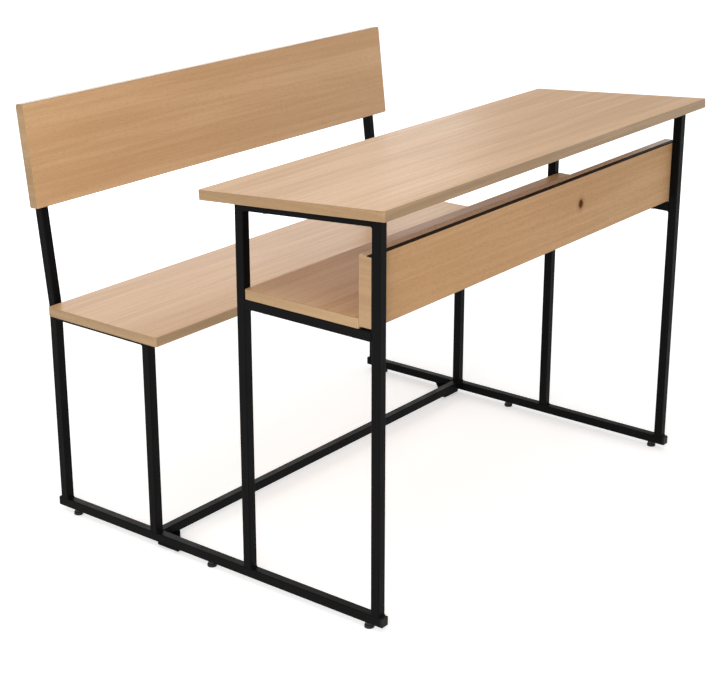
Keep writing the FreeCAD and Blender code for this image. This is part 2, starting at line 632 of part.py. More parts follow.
# Boards: each a drilled slab inside its own edge band.
desk_y, desk_z = on_desk(f"{DESK_DEPTH} / 2", f"-{BOARD}")
back_y, back_z = on_post(f"-{HALF}", "Sizes.back_offset + Sizes.back_height / 2")
seat_y = f"{POST} - {HALF} - Sizes.seat_post_gap - {SEAT_DEPTH} / 2"
boards = (
    ("desktop", DESK_LENGTH, DESK_DEPTH, desk_drills,
     (desk_y, desk_z, AGAINST_X, "Sizes.desk_tilt")),
    ("seat", SEAT_LENGTH, SEAT_DEPTH, seat_drills,
     (seat_y, SEAT_UNDER)),
    ("backrest", BACK_LENGTH, "Sizes.back_height", back_drills,
     (back_y, back_z, ALONG_X, "90 - Sizes.back_rake")),
    ("book_shelf", "Sizes.frame_length", SHELF_DEPTH, shelf_drills,
     (f"({SHELF_FRONT} + {SHELF_REAR}) / 2", SHELF_UNDER)),
)
for name, length, depth, drills, spot in boards:
    board = slab(name + "_slab", f"{length} - 2 * {BAND}", f"{depth} - 2 * {BAND}",
                 "Sizes.board_corner")
    place(board, "0", *spot)
    keep(cut(name + "_drilled", board, drills), name + "_board")
    band = edge_band(name + "_band", length, depth)
    keep(place(band, "0", *spot), name + "_edge_band")

# Front panel: a drilled core inside its band, the dark strip let into the top front edge.
panel_x = "-Sizes.frame_length / 2"
strip_low = f"{PANEL_LOW} + Sizes.panel_height - Sizes.strip_thickness"
core_length = f"Sizes.frame_length - 2 * {BAND}"
core_height = f"Sizes.panel_height - 2 * {BAND}"


def panel_strip(name):
    """Make the strip, which is also the shape of the rebate that it lies in."""
    strip = block(name, "Sizes.frame_length", "Sizes.strip_depth", "Sizes.strip_thickness")
    return place(strip, panel_x, PANEL_FRONT, strip_low)


core = block("panel_slab", core_length, PANEL, core_height)
place(core, f"{panel_x} + {BAND}", PANEL_FRONT, f"{PANEL_LOW} + {BAND}")
core_cuts = panel_drills + [panel_strip("panel_core_rebate")]
keep(cut("panel_drilled", core, core_cuts), "front_panel_board")
around = block("panel_band_blank", "Sizes.frame_length", PANEL, "Sizes.panel_height")
place(around, panel_x, PANEL_FRONT, PANEL_LOW)
inside = block("panel_band_inside", core_length, f"3 * {PANEL}", core_height)
place(inside, f"{panel_x} + {BAND}", f"{PANEL_FRONT} - {PANEL}", f"{PANEL_LOW} + {BAND}")
ring = cut("panel_band_ring", around, [inside])
keep(cut("panel_band_solid", ring, [panel_strip("panel_band_rebate")]), "front_panel_edge_band")
keep(panel_strip("panel_strip_solid"), "front_panel_top_strip")

doc.recompute()

for obj in doc.Objects:
    if "Invalid" in obj.State or "Error" in obj.State:
        raise RuntimeError(f"{obj.Label}: {obj.State}")
os.makedirs("parts", exist_ok=True)
for obj in nodes:
    shape = obj.Shape
    if shape.isNull() or not shape.isValid() or not shape.Solids:
        raise RuntimeError(f"{obj.Label}: no valid solid")
    shape.exportStep(f"parts/{obj.Label}.step")
print(f"{len(nodes)} sub-parts written")
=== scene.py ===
"""Looks of a school bench desk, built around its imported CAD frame.

The tubes, boards and plates of the frame keep their own meshes and get finishes.
Soft-rimmed edge bands, weld beads, plugs, feet and screw heads are modelled here.
"""

import logging
import math
from collections.abc import Iterable, Sequence
from dataclasses import dataclass
from enum import Enum

import bpy
from mathutils import Matrix, Vector


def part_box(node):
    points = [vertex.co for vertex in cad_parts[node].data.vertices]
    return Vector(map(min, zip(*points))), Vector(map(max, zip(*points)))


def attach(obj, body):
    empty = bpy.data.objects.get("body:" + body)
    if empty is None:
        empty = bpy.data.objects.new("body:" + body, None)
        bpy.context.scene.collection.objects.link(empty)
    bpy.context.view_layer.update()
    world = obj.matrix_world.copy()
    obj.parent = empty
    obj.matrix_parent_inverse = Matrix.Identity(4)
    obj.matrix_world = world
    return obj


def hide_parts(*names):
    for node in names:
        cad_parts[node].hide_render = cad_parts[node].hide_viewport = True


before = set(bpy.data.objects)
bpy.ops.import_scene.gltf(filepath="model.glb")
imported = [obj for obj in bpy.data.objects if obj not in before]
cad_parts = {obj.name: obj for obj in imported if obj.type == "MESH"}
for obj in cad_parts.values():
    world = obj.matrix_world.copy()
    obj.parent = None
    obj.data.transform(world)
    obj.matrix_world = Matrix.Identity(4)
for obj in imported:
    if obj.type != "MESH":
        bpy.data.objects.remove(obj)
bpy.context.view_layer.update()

ROOT_BODY = "frame"
SIDES = ("left", "right")
FOOT_ROWS = ("front", "middle", "rear")
MM = 0.001
NEAR = 0.01 * MM
MERGE_DISTANCE = 0.001 * MM
LEVEL_COSINE = 0.99
QUARTER_TURN = 90
DESK_TILT_DEGREES = 4.3
BACK_RAKE_DEGREES = 6.6
# Most of the noise lies between these two values.
NOISE_LOW, NOISE_HIGH = 0.3, 0.7

log = logging.getLogger("bench_desk")

Colour = tuple[float, float, float]
Value = bpy.types.NodeSocket | float | Sequence[float]


class Along(Enum):
    """A direction of the desk's frame, as a unit vector."""

    LENGTH = (1.0, 0.0, 0.0)
    DEPTH = (0.0, 1.0, 0.0)
    HEIGHT = (0.0, 0.0, 1.0)

    @property
    def vector(self) -> Vector:
        """Return the direction as a vector."""
        return Vector(self.value)


class Way(Enum):
    """Where a level face looks."""

    UP = 1.0
    DOWN = -1.0


class Pick(Enum):
    """What a selection is made of, as a place in the list of a mesh's parts."""

    CORNERS = 0
    EDGES = 1
    FACES = 2


class Graph:
    """A shader node tree with short ways to add, set and link its nodes."""

    def __init__(self, tree: bpy.types.NodeTree) -> None:
        """Wrap the tree that nodes are added to."""
        self.tree = tree

    def feed(self, socket: bpy.types.NodeSocket, value: Value) -> None:
        """Link a socket, or set its own value.

        Args:
            socket: The input to feed.
            value: Another node's output, or a constant.
        """
        if isinstance(value, bpy.types.NodeSocket):
            self.tree.links.new(value, socket)
        else:
            socket.default_value = value

    def add(self, kind: str, inputs: dict[str | int, Value] | None = None,
            **settings: object) -> bpy.types.Node:
        """Add a node.

        Args:
            kind: Blender's name of the node type.
            inputs: Values or links for its inputs, by name or number.
            settings: Values for the node's own properties.

        Returns:
            The new node.
        """
        node = self.tree.nodes.new(kind)
        for name, value in settings.items():
            setattr(node, name, value)
        for name, value in (inputs or {}).items():
            self.feed(node.inputs[name], value)
        return node

    def math(self, operation: str, first: Value, second: Value = 0.0) -> bpy.types.NodeSocket:
        """Return the output of a Math node."""
        return self.add("ShaderNodeMath", {0: first, 1: second}, operation=operation).outputs[0]

    def length(self, vector: Value) -> bpy.types.NodeSocket:
        """Return the length of a vector."""
        return self.add("ShaderNodeVectorMath", {0: vector}, operation="LENGTH").outputs["Value"]

    def seen(self) -> bpy.types.NodeSocket:
        """Return 1 for what is looked at, also in a mirror, and 0 for light that falls on things."""
        path = self.add("ShaderNodeLightPath")
        direct = self.math("MAXIMUM", path.outputs["Is Camera Ray"], path.outputs["Is Glossy Ray"])
        return self.math("MAXIMUM", direct, path.outputs["Is Transmission Ray"])

    def mix(self, share: Value, first: Value, second: Value) -> bpy.types.NodeSocket:
        """Blend two colours.

        Args:
            share: How much of the second colour shows.
            first: The colour below, a link or red, green and blue.
            second: The colour above, a link or red, green and blue.

        Returns:
            The blended colour.
        """
        share_input, first_input, second_input, colour_output = 0, 6, 7, 2
        inputs = {share_input: share, first_input: opaque(first), second_input: opaque(second)}
        return self.add("ShaderNodeMix", inputs, data_type="RGBA").outputs[colour_output]

    def spread(self, value: Value, low: float = NOISE_LOW, high: float = NOISE_HIGH,
               new_low: float = 0.0, new_high: float = 1.0) -> bpy.types.NodeSocket:
        """Map a value from one range to another, clamped and eased.

        Args:
            value: The value to map.
            low: Lower end of the range it comes in.
            high: Upper end of the range it comes in.
            new_low: What the lower end becomes.
            new_high: What the upper end becomes.

        Returns:
            The mapped value.
        """
        ends = {"Value": value, "From Min": low, "From Max": high,
                "To Min": new_low, "To Max": new_high}
        return self.add("ShaderNodeMapRange", ends, interpolation_type="SMOOTHSTEP").outputs[0]

    def noise(self, place: Value, stretch: Sequence[float], detail: float = 2.0,
              warp: float = 0.0) -> bpy.types.NodeSocket:
        """Add noise that runs at its own rate along each axis.

        Args:
            place: The point on the surface.
            stretch: Noise cells per metre along X, Y and Z.
            detail: Finer layers on top of the first.
            warp: How far the noise bends itself.

        Returns:
            The noise value.
        """
        scaled = self.add("ShaderNodeMapping", {"Vector": place, "Scale": stretch})
        settings = {"Vector": scaled.outputs[0], "Scale": 1.0, "Detail": detail, "Distortion": warp}
        return self.add("ShaderNodeTexNoise", settings).outputs[0]


def opaque(colour: Value) -> Value:
    """Return a plain colour with full alpha, or a link as it is."""
    if isinstance(colour, bpy.types.NodeSocket):
        return colour
    return (*colour, 1.0)


class EffectGroup:
    """A shader node group that several finishes share."""

    def __init__(self, name: str, inputs: dict[str, str], outputs: dict[str, str]) -> None:
        """Start an empty group.

        Args:
            name: The group's name.
            inputs: Socket type of each input.
            outputs: Socket type of each output.
        """
        self.tree = bpy.data.node_groups.new(name, "ShaderNodeTree")
        for side, sockets in (("INPUT", inputs), ("OUTPUT", outputs)):
            for socket_name, kind in sockets.items():
                self.tree.interface.new_socket(socket_name, in_out=side, socket_type=kind)
        self.graph = Graph(self.tree)
        self.entry = self.graph.add("NodeGroupInput")
        self.exit = self.graph.add("NodeGroupOutput")

    def given(self, name: str) -> bpy.types.NodeSocket:
        """Return one of the group's inputs."""
        return self.entry.outputs[name]

    def put(self, name: str, value: Value) -> None:
        """Send a value to one of the group's outputs."""
        self.graph.feed(self.exit.inputs[name], value)

    def use(self, graph: Graph, inputs: dict[str | int, Value]) -> bpy.types.Node:
        """Return a node of this group, placed in a material's graph with values for its inputs."""
        return graph.add("ShaderNodeGroup", inputs, node_tree=self.tree)


def make_wood_grain() -> EffectGroup:
    """Build the grain of beech laminate, which runs along X of the vector it is given.

    Returns:
        A group with a colour, a roughness and a height.
    """
    group = EffectGroup(
        "beech_grain",
        {"Vector": "NodeSocketVector", "Pale": "NodeSocketColor", "Deep": "NodeSocketColor",
         "Fleck": "NodeSocketColor", "Fleck Strength": "NodeSocketFloat"},
        {"Color": "NodeSocketColor", "Roughness": "NodeSocketFloat", "Height": "NodeSocketFloat"},
    )
    graph = group.graph
    place = group.given("Vector")
    broad = graph.noise(place, (0.9, 14.0, 14.0), detail=3.0, warp=0.6)
    streak = graph.noise(place, (3.5, 150.0, 150.0), detail=3.0, warp=0.2)
    thread = graph.noise(place, (14.0, 900.0, 900.0))
    dash = graph.noise(place, (130.0, 1500.0, 1500.0), detail=0.0)
    broad_share, streak_share, thread_share, thread_relief = 0.5, 0.35, 0.2, 0.4
    figure = graph.math("ADD", graph.math("MULTIPLY", graph.spread(broad), broad_share),
                        graph.math("MULTIPLY", graph.spread(streak), streak_share))
    figure = graph.math("ADD", figure, graph.math("MULTIPLY", thread, thread_share))
    depth = graph.spread(figure, low=0.1, high=0.95)
    colour = graph.mix(depth, group.given("Pale"), group.given("Deep"))
    flecks = graph.spread(dash, low=0.62, high=0.74)
    strength = graph.math("MULTIPLY", flecks, group.given("Fleck Strength"))
    group.put("Color", graph.mix(strength, colour, group.given("Fleck")))
    group.put("Roughness", graph.spread(streak, 0.25, 0.75, new_low=0.29, new_high=0.39))
    threads = graph.math("MULTIPLY", thread, thread_relief)
    group.put("Height", graph.math("SUBTRACT", threads, flecks))
    return group


def make_pebble_coat() -> EffectGroup:
    """Build the fine pebbled skin of powder coat and of moulded plastic.

    Returns:
        A group with a height, a roughness and a mask of pale dust specks.
    """
    group = EffectGroup(
        "pebbled_skin",
        {"Vector": "NodeSocketVector", "Pebbles Per Metre": "NodeSocketFloat",
         "Smooth": "NodeSocketFloat", "Rough": "NodeSocketFloat"},
        {"Height": "NodeSocketFloat", "Roughness": "NodeSocketFloat", "Dust": "NodeSocketFloat"},
    )
    graph = group.graph
    place = group.given("Vector")
    pebble = graph.add("ShaderNodeTexNoise", {
        "Vector": place, "Scale": group.given("Pebbles Per Metre"), "Detail": 2.0}).outputs[0]
    patch = graph.noise(place, (23.0, 23.0, 23.0), detail=3.0)
    speck = graph.noise(place, (1900.0, 1900.0, 1900.0), detail=0.0)
    range_node = graph.add("ShaderNodeMapRange", {
        "Value": patch, "From Min": NOISE_LOW, "From Max": NOISE_HIGH,
        "To Min": group.given("Smooth"), "To Max": group.given("Rough")})
    group.put("Height", pebble)
    group.put("Roughness", range_node.outputs[0])
    specks = graph.spread(speck, low=0.7, high=0.82)
    dusty = graph.spread(patch, low=0.4)
    group.put("Dust", graph.math("MULTIPLY", specks, dusty))
    return group


WOOD_GRAIN = make_wood_grain()
PEBBLED_SKIN = make_pebble_coat()


def start_material(name: str) -> tuple[bpy.types.Material, Graph, bpy.types.Node, bpy.types.NodeSocket]:
    """Start a node material.

    Args:
        name: The finish's name.

    Returns:
        The material, its graph, its Principled BSDF and the object's own coordinates.
    """
    material = bpy.data.materials.new(name)
    material.use_nodes = True
    graph = Graph(material.node_tree)
    shader = material.node_tree.nodes["Principled BSDF"]
    place = graph.add("ShaderNodeTexCoord").outputs["Object"]
    return material, graph, shader, place


@dataclass(frozen=True, kw_only=True)
class Finish:
    """What every finish has: its name, its sheen and how high and strong its relief is."""

    name: str
    shine: float = 0.5
    relief: float
    bump: float

    def coat(self, graph: Graph, shader: bpy.types.Node, colour: Value, roughness: Value,
             height: Value) -> None:
        """Set the shader of this finish.

        Args:
            graph: The material's graph.
            shader: Its Principled BSDF.
            colour: The base colour.
            roughness: The roughness.
            height: The height over the surface, which gives the relief.
        """
        shader.inputs["Specular IOR Level"].default_value = self.shine
        graph.feed(shader.inputs["Base Color"], colour)
        graph.feed(shader.inputs["Roughness"], roughness)
        bump = graph.add("ShaderNodeBump", {
            "Strength": self.bump, "Distance": self.relief, "Height": height})
        graph.feed(shader.inputs["Normal"], bump.outputs[0])


@dataclass(frozen=True, kw_only=True)
class WoodFinish(Finish):
    """A finish with beech grain: the grain's colours and how strong its flecks are."""

    pale: Colour
    deep: Colour
    fleck: Colour
    fleck_strength: float

    def grain(self, graph: Graph, along: Value) -> bpy.types.Node:
        """Return a node of this finish's grain, which runs along X of a vector."""
        return WOOD_GRAIN.use(graph, {
            "Vector": along, "Pale": opaque(self.pale), "Deep": opaque(self.deep),
            "Fleck": opaque(self.fleck), "Fleck Strength": self.fleck_strength})


@dataclass(frozen=True)
class Knot:
    """A small wood knot in a board's face."""

    centre: tuple[float, float, float]
    half_width: float = 10.0 * MM
    half_height: float = 11.0 * MM
    colour: Colour = (0.090, 0.022, 0.002)
    dullness: float = 0.65
    ragged_cells: float = 300.0
    raggedness: float = 0.5


@dataclass(frozen=True, kw_only=True)
class BeechLaminate(WoodFinish):
    """Satin beech-look laminate of one board, grain along its length."""

    shift: tuple[float, float, float]
    pale: Colour = (0.640, 0.395, 0.208)
    deep: Colour = (0.540, 0.310, 0.146)
    fleck: Colour = (0.310, 0.160, 0.075)
    fleck_strength: float = 0.35
    shine: float = 0.06
    relief: float = 0.04 * MM
    bump: float = 0.2
    knot: Knot | None = None

    def material(self) -> bpy.types.Material:
        """Return the laminate as a material."""
        material, graph, shader, place = start_material(self.name)
        shifted = graph.add("ShaderNodeMapping", {"Vector": place, "Location": self.shift})
        grain = self.grain(graph, shifted.outputs[0])
        colour = grain.outputs["Color"]
        roughness = grain.outputs["Roughness"]
        if self.knot:
            colour, core = self.with_knot(graph, place, colour)
            dulled = graph.math("MULTIPLY", core, self.knot.dullness)
            roughness = graph.math("ADD", roughness, dulled)
        self.coat(graph, shader, colour, roughness, grain.outputs["Height"])
        return material

    def with_knot(self, graph: Graph, place: bpy.types.NodeSocket,
                  colour: bpy.types.NodeSocket) -> tuple[bpy.types.NodeSocket, bpy.types.NodeSocket]:
        """Lay a knot into the grain.

        Args:
            graph: The material's graph.
            place: The object's own coordinates.
            colour: The grain's colour.

        Returns:
            The colour with the knot in it, and the mask of its matt core.
        """
        knot = self.knot
        centred = graph.add("ShaderNodeVectorMath", {0: place, 1: knot.centre}, operation="SUBTRACT")
        scale = (1.0 / knot.half_width, 1.0 / knot.half_width, 1.0 / knot.half_height)
        scaled = graph.add("ShaderNodeMapping", {"Vector": centred.outputs[0], "Scale": scale})
        edge = graph.noise(place, (knot.ragged_cells,) * 3)
        rough_edge = graph.math("MULTIPLY", edge, knot.raggedness)
        ragged = graph.math("ADD", graph.length(scaled.outputs[0]), rough_edge)
        halo = graph.spread(ragged, 0.9, 2.4, new_low=0.4, new_high=0.0)
        core = graph.spread(ragged, 0.7, 1.4, new_low=0.95, new_high=0.0)
        ringed = graph.mix(halo, colour, self.fleck)
        return graph.mix(core, ringed, knot.colour), core


@dataclass(frozen=True, kw_only=True)
class EdgeBandFinish(WoodFinish):
    """Wood-look edge band: grain runs along the band, also round the ends; top paints light on upper
    faces.
    """

    pale: Colour = (0.410, 0.262, 0.132)
    deep: Colour = (0.300, 0.182, 0.086)
    fleck: Colour = (0.160, 0.085, 0.036)
    fleck_strength: float = 0.3
    shine: float = 0.4
    relief: float = 0.06 * MM
    bump: float = 0.4
    facing_limit: float = 0.7
    # Painted light: top is a paler colour laid on the up-facing faces.
    top: Colour | None = None

    def material(self) -> bpy.types.Material:
        """Return the band as a material."""
        material, graph, shader, place = start_material(self.name)
        normal = graph.add("ShaderNodeNewGeometry").outputs["Normal"]
        facing = graph.add("ShaderNodeSeparateXYZ", {0: normal})
        sideways = graph.math("ABSOLUTE", facing.outputs["X"])
        at_end = graph.math("GREATER_THAN", sideways, self.facing_limit)
        quarter = (0.0, 0.0, math.radians(QUARTER_TURN))
        turned = graph.add("ShaderNodeMapping", {"Vector": place, "Rotation": quarter})
        along = graph.add("ShaderNodeMix", {0: at_end}, data_type="VECTOR")
        vector_inputs = [socket for socket in along.inputs if socket.type == "VECTOR"]
        graph.feed(vector_inputs[-2], place)
        graph.feed(vector_inputs[-1], turned.outputs[0])
        vector = next(socket for socket in along.outputs if socket.type == "VECTOR")
        grain = self.grain(graph, vector)
        colour = grain.outputs["Color"]
        # Painted light: up-facing faces are paled towards the top colour, between the grain's flecks.
        if self.top:
            top_light_mask = graph.math("GREATER_THAN", facing.outputs["Z"], self.facing_limit)
            between_flecks = graph.spread(grain.outputs["Height"], low=-1.0, high=0.4)
            painted_top_light = graph.mix(between_flecks, colour, self.top)
            colour = graph.mix(top_light_mask, colour, painted_top_light)
        self.coat(graph, shader, colour, grain.outputs["Roughness"], grain.outputs["Height"])
        return material


@dataclass(frozen=True, kw_only=True)
class PebbledFinish(Finish):
    """Powder coat or moulded plastic: a dark colour under a finely pebbled skin."""

    colour: Colour
    dust: Colour
    pebbles_per_metre: float
    smooth: float
    rough: float
    bump: float = 0.5
    dust_share: float = 0.4
    lightening: float = 1.5

    def material(self) -> bpy.types.Material:
        """Return the skin as a material."""
        material, graph, shader, place = start_material(self.name)
        skin = PEBBLED_SKIN.use(graph, {
            "Vector": place, "Pebbles Per Metre": self.pebbles_per_metre,
            "Smooth": self.smooth, "Rough": self.rough})
        shade = graph.noise(place, (6.0, 6.0, 6.0))
        lighter = tuple(self.lightening * channel for channel in self.colour)
        tone = graph.mix(graph.spread(shade), self.colour, lighter)
        dust = graph.math("MULTIPLY", skin.outputs["Dust"], self.dust_share)
        colour = graph.mix(dust, tone, self.dust)
        self.coat(graph, shader, colour, skin.outputs["Roughness"], skin.outputs["Height"])
        return material


POWDER_COAT = PebbledFinish(
    name="black_powder_coat", colour=(0.0026, 0.0026, 0.0028), dust=(0.03, 0.03, 0.03),
    pebbles_per_metre=1100.0, smooth=0.40, rough=0.54, relief=0.03 * MM, shine=0.05)
PLUG_PLASTIC = PebbledFinish(
    name="black_plug_plastic", colour=(0.0040, 0.0040, 0.0042), dust=(0.05, 0.05, 0.05),
    pebbles_per_metre=700.0, smooth=0.48, rough=0.65, relief=0.04 * MM, shine=0.15)
FOOT_PLASTIC = PebbledFinish(
    name="black_foot_plastic", colour=(0.0080, 0.0080, 0.0082), dust=(0.09, 0.09, 0.085),
    pebbles_per_metre=500.0, smooth=0.5, rough=0.7, relief=0.05 * MM, shine=0.25)
BLACK_STEEL = PebbledFinish(
    name="blackened_steel", colour=(0.0090, 0.0090, 0.0095), dust=(0.06, 0.06, 0.06),
    pebbles_per_metre=900.0, smooth=0.32, rough=0.45, relief=0.02 * MM, shine=0.35)
STRIP_PLASTIC = PebbledFinish(
    name="dark_brown_strip", colour=(0.0120, 0.0060, 0.0036), dust=(0.08, 0.06, 0.045),
    pebbles_per_metre=600.0, smooth=0.45, rough=0.60, relief=0.03 * MM, shine=0.08)


@dataclass(frozen=True, kw_only=True)
class ZincPlate(Finish):
    """Zinc-plated steel of screws and bolts, with a faint yellow cast."""

    bright: Colour = (0.62, 0.62, 0.60)
    dull: Colour = (0.42, 0.41, 0.37)
    relief: float = 0.02 * MM
    bump: float = 0.3

    def material(self) -> bpy.types.Material:
        """Return the plating as a material."""
        material, graph, shader, place = start_material(self.name)
        cloud = graph.noise(place, (160.0, 160.0, 160.0), detail=4.0, warp=0.5)
        colour = graph.mix(graph.spread(cloud), self.bright, self.dull)
        roughness = graph.spread(cloud, 0.25, 0.75, new_low=0.28, new_high=0.5)
        scratch = graph.noise(place, (400.0, 400.0, 3000.0), detail=1.0)
        shader.inputs["Metallic"].default_value = 1.0
        self.coat(graph, shader, colour, roughness, scratch)
        return material


class Workpiece:
    """One mesh piece, shaped with Blender's own operators."""

    def __init__(self, obj: bpy.types.Object) -> None:
        """Take up a mesh object."""
        self.obj = obj

    @staticmethod
    def let_go() -> None:
        """Deselect everything."""
        bpy.ops.object.select_all(action="DESELECT")

    @classmethod
    def taken(cls, name: str) -> "Workpiece":
        """Name the primitive that was just added and take it up."""
        obj = bpy.context.object
        obj.name = name
        obj.data.name = name
        return cls(obj)

    @classmethod
    def box(cls, name: str, size: Sequence[float], centre: Sequence[float] = (0, 0, 0)) -> "Workpiece":
        """Start from a cube.

        Args:
            name: The piece's name.
            size: Its three sides.
            centre: Its middle.

        Returns:
            The new piece.
        """
        cls.let_go()
        bpy.ops.mesh.primitive_cube_add(size=1.0, location=centre)
        piece = cls.taken(name)
        piece.obj.scale = size
        piece.settle()
        return piece

    @classmethod
    def cylinder(cls, name: str, radius: float, low: float, high: float, facets: int) -> "Workpiece":
        """Start from an upright cylinder on the Z axis.

        Args:
            name: The piece's name.
            radius: Its radius.
            low: Height of its lower end.
            high: Height of its upper end.
            facets: Number of its sides.

        Returns:
            The new piece.
        """
        cls.let_go()
        bpy.ops.mesh.primitive_cylinder_add(vertices=facets, radius=radius, depth=high - low,
                                            location=(0, 0, (low + high) / 2))
        piece = cls.taken(name)
        piece.settle()
        return piece

    def hold(self) -> None:
        """Select this piece alone and make it active."""
        self.let_go()
        self.obj.select_set(True)
        bpy.context.view_layer.objects.active = self.obj

    def settle(self) -> "Workpiece":
        """Put the object's place, turn and scale into its mesh."""
        self.hold()
        bpy.ops.object.transform_apply(location=True, rotation=True, scale=True)
        return self

    def turn(self, rotation: Matrix, centre: Sequence[float]) -> "Workpiece":
        """Turn the piece about the origin, then move the origin to a new centre."""
        self.obj.matrix_world = Matrix.Translation(Vector(centre)) @ rotation.to_4x4()
        return self.settle()

    def edit(self, pick: Pick, picked: Iterable[int]) -> None:
        """Enter edit mode with some parts selected.

        Args:
            pick: The kind of parts.
            picked: Their numbers.
        """
        self.hold()
        bpy.context.tool_settings.mesh_select_mode = [pick is kind for kind in Pick]
        mesh = self.obj.data
        lists = (mesh.vertices, mesh.edges, mesh.polygons)
        for parts in lists:
            parts.foreach_set("select", [False] * len(parts))
        for number in picked:
            lists[pick.value][number].select = True
        bpy.ops.object.mode_set(mode="EDIT")

    def done(self) -> "Workpiece":
        """Leave edit mode."""
        bpy.ops.object.mode_set(mode="OBJECT")
        return self

    def edges_at(self, *heights: float) -> list[int]:
        """Find the edges that lie level.

        Args:
            heights: The heights at which they lie.

        Returns:
            The edges' numbers.
        """
        mesh = self.obj.data
        found = []
        for edge in mesh.edges:
            levels = [mesh.vertices[number].co.z for number in edge.vertices]
            if any(max(abs(level - height) for level in levels) < NEAR for height in heights):
                found.append(edge.index)
        return found

    def upright_edges(self) -> list[int]:
        """Return the numbers of the edges that don't lie level."""
        corners = self.obj.data.vertices
        return [edge.index for edge in self.obj.data.edges
                if abs(corners[edge.vertices[0]].co.z - corners[edge.vertices[1]].co.z) > NEAR]

    def faces(self, *ways: Way) -> list[int]:
        """Return the numbers of the faces that look straight up or down."""
        return [face.index for face in self.obj.data.polygons
                if any(face.normal.z * way.value > LEVEL_COSINE for way in ways)]

    def bevel(self, picked: list[int], width: float, segments: int) -> "Workpiece":
        """Round some edges.

        Args:
            picked: The edges' numbers.
            width: How far the rounding reaches.
            segments: Number of its facets.

        Returns:
            This piece.
        """
        self.edit(Pick.EDGES, picked)
        bpy.ops.mesh.bevel(offset=width, offset_type="OFFSET", segments=segments, affect="EDGES",
                           clamp_overlap=True)
        return self.done()

    def step(self, picked: list[int], inset: float, rise: Sequence[float]) -> "Workpiece":
        """Inset some faces and push the middle in or out.

        Args:
            picked: The faces' numbers.
            inset: Width of the rim that stays.
            rise: How far the middle moves.

        Returns:
            This piece.
        """
        self.edit(Pick.FACES, picked)
        bpy.ops.mesh.inset(thickness=inset, use_even_offset=True)
        bpy.ops.mesh.extrude_region_move(TRANSFORM_OT_translate={"value": tuple(rise)})
        return self.done()

    def modify(self, kind: str, **settings: object) -> "Workpiece":
        """Add a modifier and apply it.

        Args:
            kind: Blender's name of the modifier type.
            settings: Values for its properties.

        Returns:
            This piece.
        """
        self.hold()
        modifier = self.obj.modifiers.new(kind.lower(), kind)
        for name, value in settings.items():
            setattr(modifier, name, value)
        bpy.ops.object.modifier_apply(modifier=modifier.name)
        return self

    def clean(self) -> "Workpiece":
        """Merge doubles and turn every face outwards."""
        self.edit(Pick.CORNERS, range(len(self.obj.data.vertices)))
        bpy.ops.mesh.remove_doubles(threshold=MERGE_DISTANCE)
        bpy.ops.mesh.normals_make_consistent(inside=False)
        return self.done()

    def smooth(self, angle: float = 40.0) -> "Workpiece":
        """Shade smooth across edges flatter than an angle in degrees, wide faces flat."""
        self.hold()
        bpy.ops.object.shade_smooth_by_angle(angle=math.radians(angle))
        return self.modify("WEIGHTED_NORMAL", keep_sharp=True)

    def copy(self, name: str, rotation: Matrix, centre: Sequence[float]) -> "Workpiece":
        """Make a turned and moved copy with a mesh of its own.

        Args:
            name: The copy's name.
            rotation: Its turn about the origin.
            centre: Where the origin goes.

        Returns:
            The copy.
        """
        self.hold()
        bpy.ops.object.duplicate(linked=False)
        return Workpiece.taken(name).turn(rotation, centre)

    def discard(self) -> None:
        """Delete a piece that was only a pattern or a cutter."""
        bpy.data.objects.remove(self.obj)

    @staticmethod
    def joined(name: str, pieces: Sequence["Workpiece"]) -> "Workpiece":
        """Join several pieces into one mesh.

        Args:
            name: The joined piece's name.
            pieces: The pieces, which become the first one.

        Returns:
            The joined piece.
        """
        Workpiece.let_go()
        for piece in pieces:
            piece.obj.select_set(True)
        bpy.context.view_layer.objects.active = pieces[0].obj
        bpy.ops.object.join()
        return Workpiece.taken(name)

    def dress(self, material: bpy.types.Material, slot: str, body: str,
              stands_for: Sequence[str] = ()) -> None:
        """Finish the piece and hang it on its body.

        Args:
            material: Its finish.
            slot: A material slot name, which is not used.
            body: The CAD body it moves with.
            stands_for: CAD nodes that it replaces.
        """
        self.obj.data.materials.clear()
        self.obj.data.materials.append(material)
        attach(self.obj, body)
        if stands_for:
            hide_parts(*stands_for)
        log.info("%s: %d faces on %s", self.obj.name, len(self.obj.data.polygons), body)


NO_TURN = Matrix.Identity(3)


def turn_about(along: Along, degrees: float) -> Matrix:
    """Return a turn about one axis of the desk."""
    return Matrix.Rotation(math.radians(degrees), 3, along.vector)


def paint_node(node: str, material: bpy.types.Material) -> None:
    """Give a CAD node its finish."""
    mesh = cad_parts[node].data
    mesh.materials.clear()
    mesh.materials.append(material)
    log.info("%s: %s", node, material.name)


